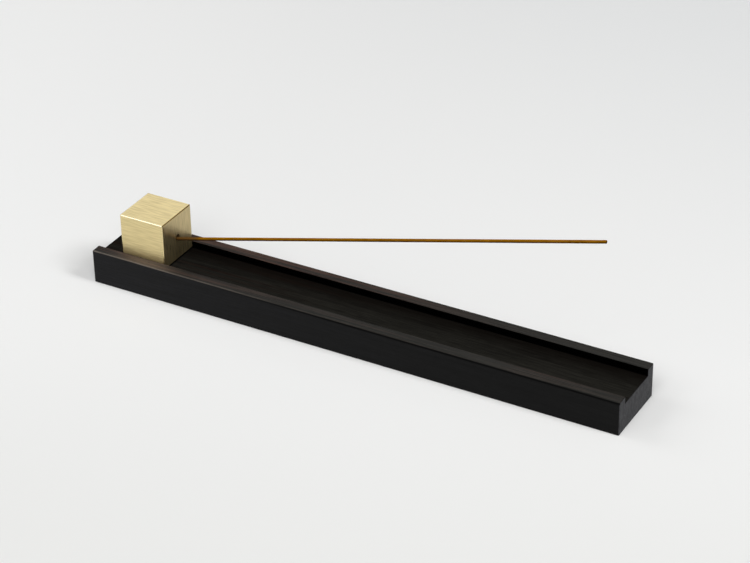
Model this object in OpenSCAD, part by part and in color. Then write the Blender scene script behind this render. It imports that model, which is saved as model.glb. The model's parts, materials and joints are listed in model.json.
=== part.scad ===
// Incense burner: a solid brass block parked in the open channel of a long
// dark wood tray. A hole drilled into the block at a slant holds one thin
// incense stick over the channel, which catches the ash.
//
// Millimetres. X runs along the tray towards the stick's free end, Y across it
// towards the back and Z up. The origin is the centre of the tray's underside.

/* [Tray] */
// Length of the tray from end to end
tray_length = 290; // [240:1:420]
// Height from the table to the rail tops
tray_height = 18.3; // [14:0.1:30]
// Thickness of each of the two side rails
rail_thickness = 5.8; // [3:0.1:12]
// Depth of the channel floor below the rail tops
channel_depth = 3.9; // [2.5:0.1:8]
// Radius that the cutter leaves along the foot of each rail
channel_corner_radius = 0.3; // [0.2:0.05:0.4]
// Radius of the eased outside edges
tray_edge_radius = 0.5; // [0.3:0.05:1.2]
// Radius of the eased edges along the channel
channel_edge_radius = 0.3; // [0.2:0.05:1]

/* [Block] */
// Side of the brass cube
block_side = 25.4; // [22:0.1:36]
// Radius of the cube's broken edges
block_edge_radius = 0.6; // [0.2:0.05:1]
// Distance from the tray's end to the parked block
block_park = 14.2; // [4:0.1:60]

/* [Stick hole] */
// Diameter of the hole
hole_diameter = 3.35; // [2.4:0.05:4.2]
// Depth of the hole along its own axis, without the drill point
hole_depth = 18.6; // [12:0.1:20]
// Angle at which the hole rises towards its mouth
hole_tilt = 20; // [12:0.5:30]
// Included angle of the drill point
drill_point_angle = 118; // [90:1:140]

/* [Incense stick] */
// Diameter of the stick
stick_diameter = 1.65; // [1.2:0.05:2]
// Length of the whole stick
stick_length = 259; // [120:1:300]

/* [Fits] */
// Gap between the block and each rail
block_side_gap = 0.25; // [0.2:0.05:0.8]
// Gap between the stick and its hole where the two bear on each other
stick_seat_gap = 0.05; // [0.02:0.01:0.1]

/* [Hidden] */

$fn = 96;
overcut = 1;

ebony = [0.09, 0.08, 0.08];
brass = [0.80, 0.70, 0.45];
incense = [0.47, 0.31, 0.13];

// The channel is as wide as the block and its two gaps.
channel_width = block_side + 2 * block_side_gap;
tray_width = channel_width + 2 * rail_thickness;
channel_floor = tray_height - channel_depth;

// The block stands on the channel floor, centred between the rails.
block_centre_x = -tray_length / 2 + block_park + block_side / 2;
block_centre_z = channel_floor + block_side / 2;

// The hole's mouth is in the middle of the block's right face.
hole_mouth = [block_centre_x + block_side / 2, 0, block_centre_z];
drill_point_length = hole_diameter / 2 / tan(drill_point_angle / 2);

// The stick is thinner than its hole, so its own weight tips it until it lies
// on the mouth's lower lip and its inner end bears up against the roof of the
// bore, where the full diameter ends. It keeps the seat gap at both.
bore_lip_to_end = hole_depth - hole_diameter / 2 * tan(hole_tilt);
bore_lip_to_roof = hole_diameter - stick_seat_gap;
stick_play_angle = acos((stick_diameter + stick_seat_gap)
                        / norm([bore_lip_to_end, bore_lip_to_roof]))
                 - atan(bore_lip_to_end / bore_lip_to_roof);

// Rectangle centred on the origin, with rounded corners.
module rounded_rectangle(width, height, radius) {
    square([width - 2 * radius, height], center = true);
    square([width, height - 2 * radius], center = true);
    for (x = [-1, 1], y = [-1, 1])
        translate([x * (width / 2 - radius), y * (height / 2 - radius)])
            circle(r = radius);
}

// Box centred on the origin, with a radius along all twelve edges.
module eased_box(size, radius) {
    intersection() {
        linear_extrude(size.z, center = true)
            rounded_rectangle(size.x, size.y, radius);
        rotate([90, 0, 0])
            linear_extrude(size.y, center = true)
                rounded_rectangle(size.x, size.z, radius);
        rotate([90, 0, 90])
            linear_extrude(size.x, center = true)
                rounded_rectangle(size.y, size.z, radius);
    }
}

// What is cut from a square corner at the origin, with the solid in the
// quadrant below and left of it, to leave a radius there.
module corner_waste(radius) {
    difference() {
        translate([-radius, -radius])
            square(radius + overcut);
        translate([-radius, -radius])
            circle(r = radius);
    }
}

// Section of the channel in Y and Z, open at the top: a slot with rounded foot
// corners that widens over the eased inner edges of the rails.
module channel_section() {
    slot_top = channel_depth + overcut;
    translate([0, channel_floor + slot_top / 2]) {
        translate([0, channel_corner_radius / 2])
            square([channel_width, slot_top - channel_corner_radius], center = true);
        square([channel_width - 2 * channel_corner_radius, slot_top], center = true);
    }
    for (side = [-1, 1])
        translate([side * (channel_width / 2 - channel_corner_radius),
                   channel_floor + channel_corner_radius])
            circle(r = channel_corner_radius);
    for (side = [0, 1])
        mirror([side, 0])
            translate([-channel_width / 2, tray_height])
                corner_waste(channel_edge_radius);
}

// Waste along the edge where the channel floor meets an end of the tray.
module floor_edge_waste() {
    translate([tray_length / 2, 0, channel_floor])
        rotate([90, 0, 0])
            linear_extrude(channel_width, center = true)
                corner_waste(channel_edge_radius);
}

// One length of dark wood with a channel milled from end to end.
module tray() {
    color(ebony)
        difference() {
            translate([0, 0, tray_height / 2])
                eased_box([tray_length, tray_width, tray_height], tray_edge_radius);
            rotate([90, 0, 90])
                linear_extrude(tray_length + 2 * overcut, center = true)
                    channel_section();
            for (end = [0, 1])
                mirror([end, 0, 0])
                    floor_edge_waste();
        }
}

// Places its children at the hole's mouth, with +Z along the hole and outwards.
module at_hole() {
    translate(hole_mouth)
        rotate([0, 90 - hole_tilt, 0])
            children();
}

// Drilled hole with its mouth at the origin: a straight bore that ends in the
// drill's point, turned in one piece. Its top passes the slanted mouth.
module stick_hole() {
    hole_radius = hole_diameter / 2;
    hole_top = hole_diameter * tan(hole_tilt) + overcut;
    rotate_extrude()
        polygon([
            [0, -hole_depth - drill_point_length],
            [hole_radius, -hole_depth],
            [hole_radius, hole_top],
            [0, hole_top],
        ]);
}

// Solid brass cube that holds the stick and slides along the channel.
module holder_block() {
    color(brass)
        difference() {
            translate([block_centre_x, 0, block_centre_z])
                eased_box([block_side, block_side, block_side], block_edge_radius);
            at_hole()
                stick_hole();
        }
}

// Thin coreless stick of incense. The upper edge of its inner end is at the
// end of the bore's roof, and the stick turns down about it by its play.
module incense_stick() {
    color(incense)
        at_hole()
            translate([stick_seat_gap - hole_diameter / 2, 0, -hole_depth])
                rotate([0, stick_play_angle, 0])
                    translate([stick_diameter / 2, 0, 0])
                        cylinder(h = stick_length, d = stick_diameter);
}

tray();
holder_block();
incense_stick();
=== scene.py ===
# %% [markdown]
# # Incense burner
#
# A long tray of nearly black wood has a shallow channel milled from end to end. A solid
# brass cube stands in the channel, and a slanted hole in its right face holds one thin
# stick of incense, so that the ash falls into the channel.
#
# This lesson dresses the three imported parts: each gets a fine mesh worked out from a
# formula, and a finish made of shader nodes. Everything is in metres, with X along the
# tray, Y across it towards the back and Z up.

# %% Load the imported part
import json
import math

import bmesh
import bpy
import numpy as np
from mathutils import Matrix, Vector


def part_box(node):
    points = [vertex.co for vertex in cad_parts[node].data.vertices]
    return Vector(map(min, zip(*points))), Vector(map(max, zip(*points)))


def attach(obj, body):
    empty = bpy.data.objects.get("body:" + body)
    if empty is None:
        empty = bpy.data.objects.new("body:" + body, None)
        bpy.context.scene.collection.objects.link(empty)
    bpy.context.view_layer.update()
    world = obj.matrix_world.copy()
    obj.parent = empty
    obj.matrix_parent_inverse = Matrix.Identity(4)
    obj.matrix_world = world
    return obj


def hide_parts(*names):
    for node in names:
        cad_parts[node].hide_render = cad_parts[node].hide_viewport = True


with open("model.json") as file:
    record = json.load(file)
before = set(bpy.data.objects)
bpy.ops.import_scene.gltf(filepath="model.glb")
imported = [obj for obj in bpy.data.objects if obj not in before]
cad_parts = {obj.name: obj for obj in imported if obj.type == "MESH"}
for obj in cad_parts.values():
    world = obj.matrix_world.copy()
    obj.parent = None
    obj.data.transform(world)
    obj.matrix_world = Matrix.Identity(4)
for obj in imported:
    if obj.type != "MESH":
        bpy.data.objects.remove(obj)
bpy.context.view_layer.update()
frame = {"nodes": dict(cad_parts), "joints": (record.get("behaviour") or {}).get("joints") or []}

MM = 0.001
print("packed nodes:", sorted(frame["nodes"]))

# %% [markdown]
# ## Measures
#
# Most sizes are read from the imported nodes, so that the finish always fits the part. Only
# what a box can't tell, such as a radius or the hole's slant, is written here as a size.

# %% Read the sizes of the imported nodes
def box_of(node):
    """Lowest and highest corner of a node, as two numpy arrays."""
    low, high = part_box(node)
    return np.array(low), np.array(high)


tray_low, tray_high = box_of("tray")
block_low, block_high = box_of("holder_block")
stick_low, stick_high = box_of("incense_stick")
block_centre = (block_low + block_high) / 2
block_half = (block_high[0] - block_low[0]) / 2
channel_floor = block_low[2]
print("tray", np.round((tray_high - tray_low) / MM, 2), "mm")
print("block", np.round((block_high - block_low) / MM, 2), "mm")

# %% Sizes that a box can't tell
BLOCK_SIDE_GAP = 0.25 * MM
TRAY_EDGE_RADIUS = 0.5 * MM
CHANNEL_EDGE_RADIUS = 0.3 * MM
CHANNEL_FOOT_RADIUS = 0.3 * MM
BLOCK_EDGE_RADIUS = 0.6 * MM
HOLE_RADIUS = 1.675 * MM
HOLE_DEPTH = 18.6 * MM
HOLE_TILT = math.radians(20)
DRILL_POINT_HALF_ANGLE = math.radians(59)
HOLE_RIM_EASE = 0.12 * MM

# %% [markdown]
# ## Camera
#
# The view is a telephoto one: about 1.2 m away, 30 degrees round to the tray's right end
# and 31 degrees up. The camera is placed by a point that it looks at, its distance from
# that point and three angles, as one would set up a tripod.

# %% Place the camera
SENSOR_WIDTH_MM = 36.0
LENS_MM = 118.37
LOOK_AT = Vector((-0.00049, 0.01409, 0.02355))
CAMERA_DISTANCE = 1.19888
AZIMUTH = math.radians(29.800)
ELEVATION = math.radians(31.384)
ROLL = math.radians(-1.018)


def direction(azimuth, elevation):
    """Unit vector from the object towards a viewer. Azimuth 0 is in front, on the -Y
    side, and it grows towards +X. Elevation is measured up from the table."""
    return Vector((
        math.sin(azimuth) * math.cos(elevation),
        -math.cos(azimuth) * math.cos(elevation),
        math.sin(elevation),
    ))


def look_from(azimuth, elevation, roll=0.0):
    """Turn of a camera or lamp that looks back along direction(): its own -Z points at
    the object, its +Y up, and then it rolls about its own Z."""
    backwards = direction(azimuth, elevation)
    return backwards.to_track_quat("Z", "Y").to_matrix().to_4x4() @ Matrix.Rotation(roll, 4, "Z")


camera_data = bpy.data.cameras.new("camera")
camera_data.sensor_fit = "HORIZONTAL"
camera_data.sensor_width = SENSOR_WIDTH_MM
camera_data.lens = LENS_MM
camera_data.clip_start = 0.05
camera_data.clip_end = 20.0
camera = bpy.data.objects.new("camera", camera_data)
camera.matrix_world = (
    Matrix.Translation(LOOK_AT + direction(AZIMUTH, ELEVATION) * CAMERA_DISTANCE)
    @ look_from(AZIMUTH, ELEVATION, ROLL)
)
bpy.context.scene.collection.objects.link(camera)
bpy.context.scene.camera = camera
print("camera at", [round(c, 3) for c in camera.matrix_world.translation])

# %% [markdown]
# ## Shader arithmetic
#
# A finish is a formula: dark wood plus a little brown where a noise is high. Blender
# writes such formulas as nodes, and they could be laid out by hand, but a formula of
# thirty nodes is hard to follow by eye. The class below wraps a node's output, so
# that Python's own signs add the Math nodes and a formula can be read as a formula.

# %% A socket that can be calculated with
class Wire:
    """One output of a shader node. Arithmetic on it adds Math nodes."""

    def __init__(self, tree, socket):
        self.tree = tree
        self.socket = socket

    @classmethod
    def node(cls, tree, kind, settings=None, inputs=None, output=0):
        """Adds a node of any kind: its settings first, then a value or a Wire for each
        input, named or counted. Gives the output that was asked for."""
        made = tree.nodes.new(kind)
        for key, value in (settings or {}).items():
            setattr(made, key, value)
        for key, value in (inputs or {}).items():
            if isinstance(value, Wire):
                tree.links.new(value.socket, made.inputs[key])
            elif value is not None:
                made.inputs[key].default_value = value
        return cls(tree, made.outputs[output])

    def math(self, operation, other=None, third=None):
        """The Math node's operation on this value and up to two others."""
        return Wire.node(self.tree, "ShaderNodeMath", {"operation": operation},
                         {0: self, 1: other, 2: third})

    def flipped(self, operation, first):
        """The same, for a plain number that stands to the left of this value."""
        return Wire.node(self.tree, "ShaderNodeMath", {"operation": operation},
                         {0: first, 1: self})

    def __add__(self, other):
        return self.math("ADD", other)

    def __mul__(self, other):
        return self.math("MULTIPLY", other)

    def __sub__(self, other):
        return self.math("SUBTRACT", other)

    def __rsub__(self, first):
        return self.flipped("SUBTRACT", first)

    def __pow__(self, other):
        return self.math("POWER", other)

    __radd__ = __add__
    __rmul__ = __mul__

    def step(self, start, end):
        """Climbs smoothly from 0 at start to 1 at end. It falls where end is lower."""
        return Wire.node(self.tree, "ShaderNodeMapRange", {"interpolation_type": "SMOOTHSTEP"},
                         {"Value": self, "From Min": start, "From Max": end})

    def mix(self, low, high):
        """Colour that is low where this value is 0 and high where it is 1."""
        return Wire.node(self.tree, "ShaderNodeMix", {"data_type": "RGBA"},
                         {0: self, 6: low, 7: high}, output=2)


# %% Noise, fading and colour
def stretched_noise(place, scale, detail=2.0, roughness=0.5):
    """Noise that is drawn out along an axis: scale gives how many spots fit in a metre
    along X, Y and Z, so a small number makes a long streak."""
    stretched = Wire.node(place.tree, "ShaderNodeMapping", {"vector_type": "POINT"},
                          {"Vector": place, "Scale": scale})
    return Wire.node(place.tree, "ShaderNodeTexNoise", {"noise_dimensions": "3D"},
                     {"Vector": stretched, "Scale": 1.0, "Detail": detail,
                      "Roughness": roughness})


def fade(value, limit, start_mm, end_mm):
    """0 at start_mm and 1 at end_mm, two distances in millimetres past a limit in metres.
    The pieces' edges are eased, so one finish fades into the next over about as much."""
    return value.step(limit + start_mm * MM, limit + end_mm * MM)


def linear(red, green, blue):
    """Colour as a screen shows it, 0 to 255, turned into the light it stands for."""
    shown = np.array([red, green, blue]) / 255
    light = np.where(shown <= 0.04045, shown / 12.92, ((shown + 0.055) / 1.055) ** 2.4)
    return (*light.tolist(), 1.0)


# %% Start a finish
def split(vector):
    """The X, Y and Z of a vector, as three numbers."""
    parts = Wire.node(vector.tree, "ShaderNodeSeparateXYZ", None, {0: vector})
    return [Wire(vector.tree, output) for output in parts.socket.node.outputs]


def new_finish(name, **constants):
    """New material with one Principled shader. Values that are the same all over are set
    on its sockets here. Gives the material, its shader and the place on the object."""
    finish = bpy.data.materials.new(name)
    finish.use_nodes = True
    tree = finish.node_tree
    shader = tree.nodes["Principled BSDF"]
    for key, value in constants.items():
        shader.inputs[key.replace("_", " ")].default_value = value
    place = Wire.node(tree, "ShaderNodeTexCoord", output="Object")
    return finish, shader, place


def connect(shader, **wires):
    """Links each wire to the shader's input of that name."""
    for key, wire in wires.items():
        wire.tree.links.new(wire.socket, shader.inputs[key.replace("_", " ")])


def bumped(height, strength, distance):
    """Normal of a surface that rises by height times distance, in metres."""
    return Wire.node(height.tree, "ShaderNodeBump", None,
                     {"Strength": strength, "Distance": distance, "Height": height})


# %% [markdown]
# ## Skins
#
# All three pieces can be drawn as closed loops that follow one another along a path, like
# the hoops of a barrel. Each loop is one row of an array, so a whole piece is computed at
# once, and one function turns such an array into a mesh.

# %% Weld a mesh and turn it outwards
WELD_DISTANCE = 0.0005 * MM


def weld_and_turn_outwards(mesh):
    """Merges points that fall together, drops the faces that this flattens, and makes
    every normal point out of the solid."""
    work = bmesh.new()
    work.from_mesh(mesh)
    bmesh.ops.remove_doubles(work, verts=work.verts, dist=WELD_DISTANCE)
    bmesh.ops.dissolve_degenerate(work, edges=work.edges, dist=WELD_DISTANCE / 10)
    bmesh.ops.recalc_face_normals(work, faces=work.faces)
    work.to_mesh(mesh)
    work.free()


# %% Shade a mesh so that flat sides stay flat
def shade_by_area(mesh):
    """Smooth shading in which large faces win: a point's normal is the sum of its faces'
    normals, each times the face's area. A flat side stays flat up to its rounded edge."""
    faces = len(mesh.polygons)
    corners = np.empty(len(mesh.loops), dtype=np.int64)
    sizes = np.empty(faces, dtype=np.int64)
    areas = np.empty(faces)
    normals = np.empty(faces * 3)
    mesh.loops.foreach_get("vertex_index", corners)
    mesh.polygons.foreach_get("loop_total", sizes)
    mesh.polygons.foreach_get("area", areas)
    mesh.polygons.foreach_get("normal", normals)
    weighted = np.repeat(normals.reshape(-1, 3) * areas[:, None], sizes, axis=0)
    total = np.zeros((len(mesh.vertices), 3))
    np.add.at(total, corners, weighted)
    total /= np.linalg.norm(total, axis=1, keepdims=True)
    mesh.polygons.foreach_set("use_smooth", np.ones(faces, dtype=bool))
    mesh.normals_split_custom_set_from_vertices(total.tolist())


# %% Turn rows of points into a closed mesh
def skin(name, loops):
    """Mesh through loops, an array of rows by points by XYZ. Neighbouring rows are joined
    by quads, each row closes on itself, and the first and last rows are capped. Points
    that fall together are welded, and the faces are turned outwards."""
    rows, points = loops.shape[:2]
    index = np.arange(rows * points).reshape(rows, points)
    onward = np.roll(index, -1, axis=1)
    quads = np.stack([index[:-1], onward[:-1], onward[1:], index[1:]], axis=-1).reshape(-1, 4)
    caps = [index[0][::-1].tolist(), index[-1].tolist()]
    mesh = bpy.data.meshes.new(name)
    mesh.from_pydata(loops.reshape(-1, 3).tolist(), [], quads.tolist() + caps)
    piece = bpy.data.objects.new(name, mesh)
    bpy.context.scene.collection.objects.link(piece)
    weld_and_turn_outwards(mesh)
    shade_by_area(mesh)
    print(f"{name}: {len(mesh.vertices)} points, {len(mesh.polygons)} faces")
    return piece


# %% [markdown]
# ## Tray
#
# The real tray is one length of wood. Its section is a low U, milled with a cutter that
# leaves a small radius at the foot of each rail, and every edge is eased with sandpaper.
# A box with a groove cut from it and its edges bevelled would come close, but its bevels
# would have to be picked edge by edge. A section of arcs carried along the length gives
# exactly that, and the easing at the ends is a quarter circle in which each point draws
# inwards as it nears the end face.

# %% Section of the tray
ARC_POINTS = 9


def arc(centre_y, centre_z, radius, start, end, end_ease, hollow=False):
    """Points along an arc in Y and Z, between two angles in degrees, with the outward
    direction of the wood's surface and the radius that the ends are eased with."""
    turn = np.radians(np.linspace(start, end, ARC_POINTS))
    outwards = np.stack([np.cos(turn), np.sin(turn)], axis=1)
    points = np.array([centre_y, centre_z]) + radius * outwards
    if hollow:
        outwards = -outwards
    return np.hstack([points, outwards, np.full((ARC_POINTS, 1), end_ease)])


def tray_section():
    """Closed outline of the U, as rows of Y, Z, outward Y, outward Z and end ease: the
    right half from the underside up over the rail and down to the channel, then the same
    mirrored in Y and taken backwards."""
    wide, top = tray_high[1], tray_high[2]
    inner = block_half + BLOCK_SIDE_GAP
    outer, edge, foot = TRAY_EDGE_RADIUS, CHANNEL_EDGE_RADIUS, CHANNEL_FOOT_RADIUS
    right = np.vstack([
        arc(wide - outer, outer, outer, -90, 0, outer),
        arc(wide - outer, top - outer, outer, 0, 90, outer),
        arc(inner + edge, top - edge, edge, 90, 180, edge),
        arc(inner - foot, channel_floor + foot, foot, 0, -90, edge, hollow=True),
    ])
    left = right[::-1] * np.array([-1, 1, -1, 1, 1])
    return np.vstack([right, left])


section = tray_section()
print("section of the tray:", len(section), "points")

# %% Tray as loops along X
END_STEPS = 9
ease_turn = np.linspace(0, np.pi / 2, END_STEPS)


def tray_end(side):
    """Rows from the straight part to the end face on one side, -1 or 1. Row angle f puts
    a point r * (1 - sin f) short of the end and r * (1 - cos f) inside the outline, where
    r is the point's own end ease."""
    turn = ease_turn[:, None]
    ease = section[:, 4]
    x = side * (tray_high[0] - ease * (1 - np.sin(turn)))
    inwards = (ease * (1 - np.cos(turn)))[..., None]
    outline = section[:, :2] - inwards * section[:, 2:4]
    return np.concatenate([x[..., None], outline], axis=-1)


tray_loops = np.concatenate([tray_end(-1)[::-1], tray_end(1)])
tray = skin("wooden_tray", tray_loops)

# %% [markdown]
# ## Block
#
# The block is a length of square brass bar with its edges just broken. It could be a cube
# with a Bevel modifier and a hole cut by a Boolean, but a Boolean leaves ragged faces
# around the hole, and they show in metal. So the block is one skin: loops start in the
# middle of the left face, run over the four sides, come in across the right face as
# squares that turn into the hole's rim, and follow the bore down to the drill's point.

# %% Loops of a rounded square
SIDE_POINTS = 12
CORNER_POINTS = 7


def rounded_square(half, radius):
    """Closed loop of Y and Z offsets around a square of that half side, with a quarter
    circle at each corner. The number of points doesn't depend on the sizes."""
    turn = np.radians(np.linspace(0, 90, CORNER_POINTS))
    corner = (half - radius) + radius * np.stack([np.cos(turn), np.sin(turn)], axis=1)
    reach = np.linspace(-1, 1, SIDE_POINTS + 1)[1:-1] * (half - radius)
    side = np.stack([np.full(SIDE_POINTS - 1, half), reach], axis=1)
    quarter = np.vstack([side, corner])
    quarters = []
    for _ in range(4):
        quarters.append(quarter)
        quarter = quarter[:, ::-1] * np.array([-1, 1])
    return np.vstack(quarters)


def block_row(x, offsets):
    """Loop of Y and Z offsets from the block's centre line, placed at x."""
    return np.column_stack([np.full(len(offsets), x), offsets + block_centre[1:]])


# %% Long sides and rounded ends of the block
EDGE_STEPS = 7
LENGTH_STEPS = 12
edge_turn = np.linspace(0, np.pi / 2, EDGE_STEPS)


def block_end(side):
    """Rows around one end's edge, from the long sides to the end face. Row angle f is
    r * (1 - sin f) short of the face and drawn in by r * (1 - cos f)."""
    rows = []
    for turn in edge_turn:
        drawn_in = BLOCK_EDGE_RADIUS * (1 - np.cos(turn))
        short = BLOCK_EDGE_RADIUS * (1 - np.sin(turn))
        x = block_centre[0] + side * (block_half - short)
        rows.append(block_row(x, rounded_square(block_half - drawn_in,
                                                BLOCK_EDGE_RADIUS - drawn_in)))
    return rows


long_sides = [
    block_row(x, rounded_square(block_half, BLOCK_EDGE_RADIUS))
    for x in np.linspace(block_low[0] + BLOCK_EDGE_RADIUS,
                         block_high[0] - BLOCK_EDGE_RADIUS, LENGTH_STEPS)[1:-1]
]
print("loops of the block:", len(long_sides[0]), "points each")

# %% Left face of the block
FACE_STEPS = 10
FIRST_SHARE = 0.02
ROUNDING = 0.5
flat_half = block_half - BLOCK_EDGE_RADIUS
flat_square = rounded_square(flat_half, 0.0)
spoke = np.arctan2(flat_square[:, 1], flat_square[:, 0])
disc = np.stack([np.cos(spoke), np.sin(spoke)], axis=1)


def left_face_row(share):
    """Loop on the left face, share of the way out from its middle: the flat square times
    share, made rounder by ROUNDING * share * (1 - share) of its half side."""
    rounder = disc * flat_half * ROUNDING * share * (1 - share)
    return block_row(block_low[0], flat_square * share + rounder)


left_face = [left_face_row(share) for share in np.linspace(FIRST_SHARE, 1, FACE_STEPS)[:-1]]

# %% Loops around the slanted hole
mouth = np.array([block_high[0], block_centre[1], block_centre[2]])
along = np.array([math.cos(HOLE_TILT), 0, math.sin(HOLE_TILT)])
across = np.array([0, 1, 0])
upwards = np.array([-math.sin(HOLE_TILT), 0, math.cos(HOLE_TILT)])


def ring(radius):
    """Offsets of a circle around the hole's axis and square to it."""
    return radius * (np.outer(disc[:, 0], across) + np.outer(disc[:, 1], upwards))


def hole_row(radius, inwards):
    """Loop around the hole at a depth along its axis, measured from where the wall of
    that radius meets the right face. The face cuts the wall at
    radius * sin(angle) * tan(tilt) along the axis."""
    face_cut = radius * disc[:, 1] * math.tan(HOLE_TILT)
    return mouth + ring(radius) + np.outer(face_cut - inwards, along)


def bore_row(radius, depth):
    """Loop square to the hole's axis, at a depth below the middle of the mouth."""
    return mouth + ring(radius) - depth * along


# %% Right face, rim, bore and drill point
BORE_STEPS = 14
RIM_STEPS = 5
POINT_SHARES = (0.5, 0.97)
eased_rim = hole_row(HOLE_RADIUS + HOLE_RIM_EASE, 0.0)
outer_square = block_row(block_high[0], flat_square)
right_face = [
    outer_square * (1 - t) + eased_rim * t
    for t in np.linspace(0, 1, FACE_STEPS)[1:]
]
rim = [
    hole_row(HOLE_RADIUS + HOLE_RIM_EASE * (1 - math.sin(turn)),
             HOLE_RIM_EASE * (1 - math.cos(turn)))
    for turn in np.linspace(0, np.pi / 2, RIM_STEPS)[1:]
]
bore_end = bore_row(HOLE_RADIUS, HOLE_DEPTH)
bore = [
    rim[-1] * (1 - t) + bore_end * t
    for t in np.linspace(0, 1, BORE_STEPS)[1:]
]
point_length = HOLE_RADIUS / math.tan(DRILL_POINT_HALF_ANGLE)
drill_point = [
    bore_row(HOLE_RADIUS * (1 - t), HOLE_DEPTH + point_length * t)
    for t in POINT_SHARES
]
print("hole", round((HOLE_DEPTH + point_length) / MM, 1), "mm deep to its point")

# %% Block as one skin
block_loops = np.stack(
    left_face + block_end(-1)[::-1] + long_sides + block_end(1)
    + right_face + rim + bore + drill_point
)
block = skin("brass_block", block_loops)

# %% [markdown]
# ## Stick
#
# Incense of this kind is wood powder paste pressed through a round die and dried. It has
# no core, so it is the same all along and ends in a blunt break. A displaced cylinder
# would do, but here its radius is simply a function of two parameters, the distance along
# the stick and the turn around it. It wavers by about a hundredth of a millimetre, which
# gives the slightly uneven outline that dried paste has.

# %% Centre line of the stick
draw_joint = next(j for j in frame["joints"] if j["name"] == "stick_draw")
stick_along = np.array(draw_joint["axis"], dtype=float)
stick_along /= np.linalg.norm(stick_along)
stick_up = np.cross(stick_along, [0.0, 1.0, 0.0])
stick_side = np.array([0.0, 1.0, 0.0])
stick_radius = (stick_high[1] - stick_low[1]) / 2
stick_middle = (stick_low + stick_high) / 2
ends_overhang = 2 * stick_radius * stick_along[2]
stick_length = (stick_high[0] - stick_low[0] - ends_overhang) / stick_along[0]
print("stick", round(stick_length / MM, 1), "mm long")
print("stick", round(2 * stick_radius / MM, 2), "mm thick")

# %% Stick as loops along its own line
STICK_RINGS = 260
STICK_SIDES = 20
WAVER = 0.012 * MM
WAVES = 14
SHORTEST_WAVE = 1.5 * MM
LONGEST_WAVE = 14 * MM
MOST_AROUND = 4
stick_noise = np.random.default_rng(7)


def wavering(distance, turn):
    """Small rise and fall of the surface: a sum of waves along the stick and around it,
    each with its own length, strength and start."""
    height = np.zeros(np.broadcast(distance, turn).shape)
    for _ in range(WAVES):
        length = stick_noise.uniform(SHORTEST_WAVE, LONGEST_WAVE)
        around = stick_noise.integers(0, MOST_AROUND)
        start = stick_noise.uniform(0, 2 * np.pi)
        strength = stick_noise.uniform(0.3, 1.0)
        height += strength * np.sin(2 * np.pi * distance / length + around * turn + start)
    return height / WAVES


travel = np.linspace(-stick_length / 2, stick_length / 2, STICK_RINGS)[:, None]
turn = np.linspace(0, 2 * np.pi, STICK_SIDES, endpoint=False)[None, :]
radius = stick_radius + WAVER * wavering(travel, turn)
print("radius from", *np.round(np.array([radius.min(), radius.max()]) / MM, 3), "mm")

# %% Blunt ends of the stick
END_SHARES = np.array([[0.0], [0.5], [0.85]])
SMALLEST_RADIUS = 0.02 * MM
RIM_DRAWN_IN = 0.036 * MM
RIM_MOVED_BACK = 0.024 * MM
first_rim = len(END_SHARES)
last_rim = -1 - first_rim
first_face = np.maximum(radius[:1] * END_SHARES, SMALLEST_RADIUS)
last_face = np.maximum(radius[-1:] * END_SHARES[::-1], SMALLEST_RADIUS)
radii = np.concatenate([first_face, radius, last_face])
radii[[first_rim, last_rim]] -= RIM_DRAWN_IN
places = np.pad(travel, ((first_rim, first_rim), (0, 0)), mode="edge")
places[first_rim] += RIM_MOVED_BACK
places[last_rim] -= RIM_MOVED_BACK
stick_loops = (
    stick_middle
    + places[..., None] * stick_along
    + (radii * np.cos(turn))[..., None] * stick_side
    + (radii * np.sin(turn))[..., None] * stick_up
)
stick = skin("stick_of_incense", stick_loops)

# %% [markdown]
# ## Dark wood
#
# Ebony is nearly black, with a few brown streaks where lighter wood comes near the
# surface. A pattern wrapped round the tray would break at every edge. Noise in the wood's
# own X, Y and Z runs through the whole tray as real grain does, so it is used here. It is
# drawn out along X, as the fibres are. The end faces cut across the fibres, so they get a
# speckle of their own.
#
# The outside is sanded and waxed. Light and shade are painted into its colour: a painted
# sheen makes the near side paler towards the left, a painted pool of light reflected from
# the brass lies on the near rail beside the parked block, the near rail's front edge has a
# painted highlight towards the left, and a painted shade line lies under the same edge on
# the right.

# %% Where the wood is what
wood, wood_shader, wood_place = new_finish(
    "dark_wood", Metallic=0.0, Specular_IOR_Level=0.04)
wood_x, wood_y, wood_z = split(wood_place)
wood_across = wood_y.math("ABSOLUTE")
wood_along = wood_x.math("ABSOLUTE")
wood_front = 0 - wood_y
half_length, half_width, rail_top = tray_high
channel_half = block_half + BLOCK_SIDE_GAP

in_channel = (
    fade(wood_z, rail_top, -0.1, -0.4)
    * fade(wood_z, channel_floor, -0.3, -0.1)
    * fade(wood_across, channel_half, 0.4, 0.1)
    * fade(wood_along, half_length, -0.05, -0.3)
)
on_wall = in_channel * fade(wood_across, channel_half, -0.5, -0.05)
on_rail = fade(wood_z, rail_top, -0.5, -0.1)
on_end_grain = fade(wood_along, half_length, -0.5, -0.1) * (1 - on_rail)
on_rail_front = fade(wood_front, half_width, -0.7, -0.35) * on_rail
on_front = fade(wood_front, half_width, -0.45, -0.1) * (1 - on_rail)
print("channel", round(2 * channel_half / MM, 1), "mm wide")

# %% How the wood changes along the tray
SPOT_X = 0.104
to_left = (half_length - wood_x) * (0.5 / half_length)
brown_end = (wood_x - 3.0 * wood_y).step(0.02, -0.10)
brown_spot = (wood_x - SPOT_X).math("ABSOLUTE").step(0.03, 0.005) * wood_front.step(0.0, 0.01)
beside_block = (wood_x - block_centre[0] - 0.004).math("ABSOLUTE").step(0.026, 0.002)
near_side = wood_y.step(0.0, -half_width)
print("brown spot", round((half_length - SPOT_X) / MM), "mm from the right end")

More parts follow.
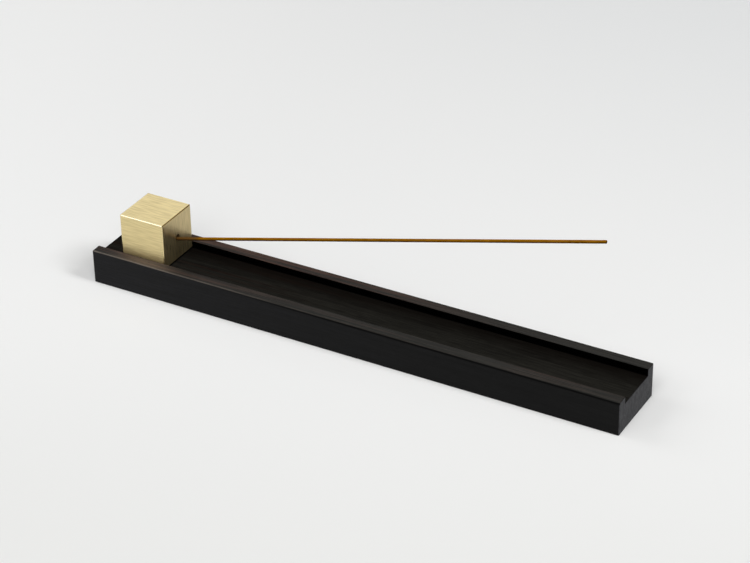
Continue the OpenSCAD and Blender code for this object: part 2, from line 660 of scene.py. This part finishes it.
# %% Grain
bands = stretched_noise(wood_place, scale=(9, 420, 420), detail=2.0)
streaks = stretched_noise(wood_place, scale=(35, 1900, 1900), detail=3.0, roughness=0.6)
fibres = stretched_noise(wood_place, scale=(160, 7000, 7000), detail=2.0, roughness=0.6)
pores = stretched_noise(wood_place, scale=(420, 5200, 5200), detail=1.0)
end_speckle = stretched_noise(wood_place, scale=(900, 900, 450), detail=3.0, roughness=0.6)
grain = (streaks * 0.7 + fibres * 0.3).step(0.30, 0.68)
brown_grain = (bands * 0.6 + streaks * 0.4).step(0.40, 0.62)
brown_share = 0.15 + 0.85 * brown_end + 0.5 * brown_spot
in_pore = pores.step(0.60, 0.72)

# %% Tones of waxed ebony, each from its dark grain to its pale grain
SIDE_AT_RIGHT = linear(17, 17, 17), linear(23, 23, 23)
# Painted sheen: the near side is painted paler towards the left.
SIDE_AT_LEFT_PAINTED_SHEEN = linear(28, 28, 28), linear(36, 36, 38)
RAIL = linear(22, 22, 20), linear(48, 47, 44)
BROWN_RAIL = linear(44, 30, 26), linear(84, 65, 56)
END_GRAIN = linear(46, 46, 48), linear(69, 69, 71)
# Painted light, reflected from the brass onto the near rail beside the block.
PAINTED_LIGHT_FROM_BRASS = linear(124, 108, 94)
# Painted highlight on the near rail's front edge.
PAINTED_RAIL_HIGHLIGHT = linear(116, 110, 102)
# Painted shade: a black line under the near rail's front edge.
PAINTED_SHADE_LINE = linear(0, 0, 0)
PORE = linear(6, 6, 6)

# %% Outside of the tray, sanded and waxed
# The side's paler tone towards the left is a painted sheen.
side_colour = (to_left * to_left).mix(grain.mix(*SIDE_AT_RIGHT), grain.mix(*SIDE_AT_LEFT_PAINTED_SHEEN))
rail_colour = (brown_grain * brown_share).mix(grain.mix(*RAIL), grain.mix(*BROWN_RAIL))
# Painted pool of light from the brass, on the near rail beside the parked block.
painted_light_from_brass = beside_block * near_side * (0.1 + 0.5 * streaks)
waxed_colour = on_rail.mix(side_colour, painted_light_from_brass.mix(rail_colour, PAINTED_LIGHT_FROM_BRASS))
end_colour = end_speckle.step(0.25, 0.75).mix(*END_GRAIN)
# Painted shade line under the near rail's front edge, on the right.
painted_shade_under_edge = on_front * fade(wood_z, rail_top, -1.5, -1.1) * wood_x.step(-0.10, 0.0)
outside_colour = painted_shade_under_edge.mix(on_end_grain.mix(waxed_colour, end_colour), PAINTED_SHADE_LINE)
# Painted highlight along the near rail's front edge, stronger towards the left.
painted_rail_highlight = on_rail_front * (to_left ** 4.0) * streaks.step(0.2, 0.5)
wood_colour = (in_pore * 0.4).mix(painted_rail_highlight.mix(outside_colour, PAINTED_RAIL_HIGHLIGHT), PORE)
wood_rough = 0.40 + 0.14 * streaks + 0.10 * in_pore
wood_height = streaks * 0.25 + fibres * 0.45 - 0.6 * in_pore
wood_normal = bumped(wood_height, strength=0.6, distance=0.02 * MM)
connect(wood_shader, Base_Color=wood_colour, Roughness=wood_rough, Normal=wood_normal)
print("dark_wood:", len(wood_place.tree.nodes), "nodes for the outside")

# %% [markdown]
# ## Raw wood in the channel
#
# The channel is left as the cutter made it, so it has no wax and no gloss at all. That
# could be the same shader with another roughness, but a gloss level has to be one number
# for a whole shader. So the raw wood is a second shader, and a mask mixes the two. Painted
# shade darkens the floor towards the far wall, and the walls are the darkest.

# %% Channel, left as it was cut
RAW_FLOOR = linear(14, 13, 12), linear(42, 41, 37)
RAW_BROWN = linear(36, 24, 20)
# Painted shade on the channel floor along the far wall.
PAINTED_SHADE_BY_FAR_WALL = linear(7, 4, 3)
RAW_WALL = linear(1, 1, 1)
raw_grain = (streaks * 0.5 + fibres * 0.5).step(0.30, 0.70)
raw_brown_share = bands.step(0.45, 0.70) * brown_end * 0.5
raw_floor = raw_brown_share.mix(raw_grain.mix(*RAW_FLOOR), RAW_BROWN)
# Painted shade, strongest next to the far wall.
painted_shade_by_far_wall = 0.75 * fade(wood_y, channel_half, -16, -1)
raw_colour = on_wall.mix(painted_shade_by_far_wall.mix(raw_floor, PAINTED_SHADE_BY_FAR_WALL), RAW_WALL)
raw_wood = Wire.node(
    wood_place.tree, "ShaderNodeBsdfPrincipled", None,
    {"Base Color": raw_colour, "Roughness": 0.8, "Specular IOR Level": 0.0,
     "Normal": wood_normal})
waxed_wood = Wire(wood_place.tree, wood_shader.outputs[0])
wood_surface = Wire.node(
    wood_place.tree, "ShaderNodeMixShader", None,
    {0: in_channel, 1: waxed_wood, 2: raw_wood})
wood_output = wood_place.tree.nodes["Material Output"]
wood_place.tree.links.new(wood_surface.socket, wood_output.inputs[0])
print("dark_wood:", len(wood_place.tree.nodes), "nodes with the channel")

# %% [markdown]
# ## Brushed brass
#
# The bar is satin brass, rubbed with fine abrasive along its length, and up and down on
# its end faces. An anisotropic shader could smear its reflections, but it would show no
# single hairline. Noise drawn out along the rubbing shows both: as a fine bump it tilts
# the surface from side to side, so a reflection smears across the grooves, and as a tone
# it makes some hairlines darker.
#
# The eased edges aren't rubbed. Light and shade are painted into the colour: the end faces
# are painted darker, the two long top edges carry a painted highlight, the top edges of the
# end faces a painted dark reflection, and the foot a painted contact shadow.

# %% Where the brass is what
MASK_FADE = 0.02    # as a share of the half side, as the three reaches are
brass, brass_shader, brass_place = new_finish("brushed_brass")
brass_x, brass_y, brass_z = split(brass_place)
reach_x = ((brass_x - block_centre[0]) * (1 / block_half)).math("ABSOLUTE")
reach_y = ((brass_y - block_centre[1]) * (1 / block_half)).math("ABSOLUTE")
reach_z = ((brass_z - block_centre[2]) * (1 / block_half)).math("ABSOLUTE")
on_end = (reach_x - reach_y.math("MAXIMUM", reach_z)).step(-MASK_FADE, 0.0)
on_upright_side = (reach_y - reach_x.math("MAXIMUM", reach_z)).step(-MASK_FADE, 0.0)
second_reach = reach_x.math("MINIMUM", reach_y).math(
    "MAXIMUM", reach_x.math("MAXIMUM", reach_y).math("MINIMUM", reach_z))
edge_start = 1 - BLOCK_EDGE_RADIUS / block_half
on_flat = second_reach.step(edge_start + 0.002, edge_start - 0.016)
on_top_edge = fade(brass_z, block_high[2] - BLOCK_EDGE_RADIUS, 0, 0.25)
on_end_edge = on_top_edge * reach_x.step(edge_start, edge_start + MASK_FADE)
on_long_edge = on_top_edge * reach_y.step(edge_start, edge_start + MASK_FADE) * (1 - on_end_edge)
# Where the painted contact shadow lies, at the foot of the block.
at_foot = fade(brass_z, channel_floor, 1.3, 1.0)
print("flat faces reach", round(edge_start, 3), "of the half side")


# %% Hairlines
def rubbed(along, across, detail, roughness):
    """Noise drawn out along the rubbing: along X on the four long sides, and up and
    down on the two end faces. Along and across are spots in a metre."""
    lengthwise = stretched_noise(brass_place, (along, across, across), detail, roughness)
    upright = stretched_noise(brass_place, (across, across, along), detail, roughness)
    return lengthwise * (1 - on_end) + upright * on_end


grooves = rubbed(along=120, across=6500, detail=2.0, roughness=0.6)
hairlines = rubbed(along=130, across=1500, detail=0.0, roughness=0.5)
contrast = 1 - 0.35 * on_upright_side
hairline_tone = (hairlines.step(0.2, 0.8) - 0.5) * contrast + 0.5

# %% Brass
LONG_SIDE = linear(214, 196, 145), linear(239, 221, 168)
# Painted shade: the end faces are painted darker than the long sides.
END_FACE_PAINTED_SHADE = linear(180, 162, 119), linear(202, 183, 136)
# Painted highlight along the two long top edges.
PAINTED_BRASS_HIGHLIGHT = linear(226, 213, 180)
# Painted dark reflection along the top edges of the end faces.
PAINTED_DARK_REFLECTION = linear(142, 114, 60)
# Painted contact shadow at the foot of the block.
PAINTED_CONTACT_SHADOW = linear(0, 0, 0)
face_colour = on_end.mix(hairline_tone.mix(*LONG_SIDE), hairline_tone.mix(*END_FACE_PAINTED_SHADE))
edged_colour = on_end_edge.mix(on_long_edge.mix(face_colour, PAINTED_BRASS_HIGHLIGHT), PAINTED_DARK_REFLECTION)
brass_colour = at_foot.mix(edged_colour, PAINTED_CONTACT_SHADOW)
brass_normal = bumped(grooves, strength=on_flat * (1 - 0.4 * on_end), distance=0.01 * MM)
brass_rough = 0.18 + on_flat * (0.24 + 0.06 * hairlines - 0.16 * on_end)
connect(brass_shader, Base_Color=brass_colour, Metallic=0.96 - 0.07 * on_end,
        Roughness=brass_rough, Normal=brass_normal)
print("brushed_brass:", len(brass_place.tree.nodes), "nodes")

# %% [markdown]
# ## Incense
#
# Dried paste is matt and golden brown. One flat brown would look like plastic. So light and
# shade are painted into the tone: it climbs with the height above the stick's own centre
# line, from painted shade underneath to painted light on top, fine grains of powder and slow
# patches vary it, and the part beside the block is painted greyer, as shade.

# %% Paste
GRAIN_SIZE = 0.05 * MM
# Painted shade underneath and painted light on top, by height on the stick.
PAINTED_SHADE_UNDERNEATH = linear(10, 1, 0), linear(24, 7, 0)
PAINTED_LIGHT_ON_TOP = linear(118, 74, 0), linear(154, 102, 14)
# Painted shade: the stick is painted greyer beside the block.
PAINTED_SHADE_BY_BLOCK = linear(84, 64, 40)
paste, paste_shader, paste_place = new_finish(
    "incense_paste", Metallic=0.0, Specular_IOR_Level=0.02)
grains = stretched_noise(paste_place, scale=(3500, 3500, 3500), detail=2.0, roughness=0.7)
patches = stretched_noise(paste_place, scale=(160, 500, 500), detail=2.0)
paste_x, _, paste_z = split(paste_place)
height_on_stick = (
    (paste_z - stick_middle[2]) * (stick_up[2] / stick_radius)
    + (paste_x - stick_middle[0]) * (stick_up[0] / stick_radius)
)
paste_tone = (grains * 0.6 + patches * 0.4).step(0.3, 0.7)
# Painted shade on the stick's first centimetre or so beside the block.
painted_shade_by_block_share = 0.7 * fade(paste_x, block_high[0], 14, 10)
top_colour = painted_shade_by_block_share.mix(paste_tone.mix(*PAINTED_LIGHT_ON_TOP), PAINTED_SHADE_BY_BLOCK)
# The tone climbs from painted shade underneath to painted light on top.
paste_colour = height_on_stick.step(-0.8, 1.1).mix(paste_tone.mix(*PAINTED_SHADE_UNDERNEATH), top_colour)
connect(paste_shader, Base_Color=paste_colour, Roughness=0.72 + 0.2 * grains,
        Normal=bumped(grains, strength=0.8, distance=GRAIN_SIZE))
print("incense_paste:", len(paste_place.tree.nodes), "nodes")

# %% Dress the pieces
for piece, finish, node, body, slot in (
    (tray, wood, "tray", "tray", "dark_wood"),
    (block, brass, "holder_block", "block", "brushed_brass"),
    (stick, paste, "incense_stick", "stick", "incense_paste"),
):
    piece.data.materials.append(finish)
    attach(piece, body)
    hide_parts(node)
    print(piece.name, "rides on", body)

# %% [markdown]
# ## Table
#
# The table is a pale sheet with no edge in sight. A curved backdrop would do the same in
# one view, but a flat sheet that reaches far out looks right from every side. The falloff of
# the light is painted into its paper: painted shade makes it a little darker far off and close
# to the viewer, and painted light makes it paler on the left. The sheet lies a hair below
# the tray, so that the two don't share one plane.

# %% Pale table
TABLE_REACH = 2.6
TABLE_DROP = 0.02 * MM
corners = [(-1, -1), (1, -1), (1, 1), (-1, 1)]
table_mesh = bpy.data.meshes.new("table")
table_mesh.from_pydata(
    [(x * TABLE_REACH, y * TABLE_REACH, -TABLE_DROP) for x, y in corners],
    [], [(0, 1, 2, 3)])
table = bpy.data.objects.new("table", table_mesh)
bpy.context.scene.collection.objects.link(table)
print("table", 2 * TABLE_REACH, "m wide")

# %% Paper
PAPER = linear(241, 241, 240)
# Painted light falloff: darker far off and near the viewer, paler on the left.
PAPER_FAR_PAINTED_SHADE = linear(234, 235, 235)
PAPER_NEAR_PAINTED_SHADE = linear(232, 232, 230)
PAPER_LEFT_PAINTED_LIGHT = linear(248, 248, 247)
paper, paper_shader, paper_place = new_finish("paper", Roughness=0.9, Specular_IOR_Level=0.0)
paper_x, paper_y, _ = split(paper_place)


def over_table(x_share, y_share, start, end):
    """Climbs from 0 to 1 over the table, between two distances in metres along the
    direction that has these shares of X and Y."""
    return (x_share * paper_x + y_share * paper_y).step(start, end)


going_far = over_table(0.35, 0.94, 0.10, 0.50)
going_left = over_table(-1.0, -0.2, 0.04, 0.42)
coming_near = over_table(-0.3, 1.0, 0.02, -0.24)
paper_back = going_far.mix(going_left.mix(PAPER, PAPER_LEFT_PAINTED_LIGHT), PAPER_FAR_PAINTED_SHADE)
connect(paper_shader, Base_Color=coming_near.mix(paper_back, PAPER_NEAR_PAINTED_SHADE))
table_mesh.materials.append(paper)
print("paper:", len(paper_place.tree.nodes), "nodes")

# %% [markdown]
# ## Light
#
# The room gives a weak even light, and four soft panels give the rest: a broad one in
# front, a small strong one on the right that gives the end face its light, and two on the
# left. Brass shows whatever stands around it, and a lamp that is strong enough to light
# dark wood would burn out in it. So mirrored rays don't see the lamps. They see four cards
# instead, which light nothing else, as white card shapes a reflection in a studio. The
# background is plain because a ray from the camera sees the room as nearly white.

# %% Room
ROOM_LIGHT = 0.11
ROOM_MIRRORED = 0.3
ROOM_COLOUR = (0.92, 0.94, 0.96, 1.0)
room = bpy.data.worlds.new("studio")
room.use_nodes = True
bpy.context.scene.world = room
backdrop = room.node_tree.nodes["Background"]
backdrop.inputs["Color"].default_value = ROOM_COLOUR
is_seen = Wire.node(room.node_tree, "ShaderNodeLightPath", output="Is Camera Ray")
is_mirrored = Wire.node(room.node_tree, "ShaderNodeLightPath", output="Is Glossy Ray")
room_strength = (
    ROOM_LIGHT
    + (1 - ROOM_LIGHT) * is_seen
    + (ROOM_MIRRORED - ROOM_LIGHT) * is_mirrored
)
room.node_tree.links.new(room_strength.socket, backdrop.inputs["Strength"])
print("room gives", ROOM_LIGHT, "of white")

# %% Soft panels
PANEL_DISTANCE = 4.0


def panel(name, azimuth, elevation, width, height, radiance):
    """Soft lamp that faces the object, placed by two angles in degrees. Its power is
    radiance * pi * area, so radiance is how bright it looks, where 1 is white."""
    lamp = bpy.data.lights.new(name, "AREA")
    lamp.shape = "RECTANGLE"
    lamp.size = width
    lamp.size_y = height
    lamp.energy = radiance * math.pi * width * height
    holder = bpy.data.objects.new(name, lamp)
    angles = math.radians(azimuth), math.radians(elevation)
    holder.matrix_world = (
        Matrix.Translation(direction(*angles) * PANEL_DISTANCE) @ look_from(*angles)
    )
    holder.visible_camera = False
    bpy.context.scene.collection.objects.link(holder)
    print(f"{name}: {lamp.energy:.1f} W")
    return holder


# %% Lamps that light, and cards that are mirrored
for lamp in (
    panel("front_panel", 20, 48, width=3.2, height=2.6, radiance=4.15),
    panel("right_panel", 91, 47, width=0.9, height=1.2, radiance=18.5),
    panel("left_panel", -84, 35, width=2.0, height=2.4, radiance=2.2),
    panel("front_left_panel", -34, 38, width=1.1, height=1.4, radiance=3.0),
):
    lamp.visible_glossy = False
for card in (
    panel("edge_card", -45, 40, width=3.4, height=3.6, radiance=2.3),
    panel("top_card", -150, 31, width=3.0, height=3.0, radiance=0.94),
    panel("front_card", 30, 40, width=3.0, height=3.0, radiance=0.9),
    panel("back_card", 120, 35, width=3.0, height=3.0, radiance=0.8),
):
    card.visible_diffuse = False

# %% [markdown]
# ## Last settings
#
# The Standard view shows a colour as it was written, where the default view would dull
# it.

# %% Picture settings
bpy.context.scene.view_settings.view_transform = "Standard"
print("view:", bpy.context.scene.view_settings.view_transform)
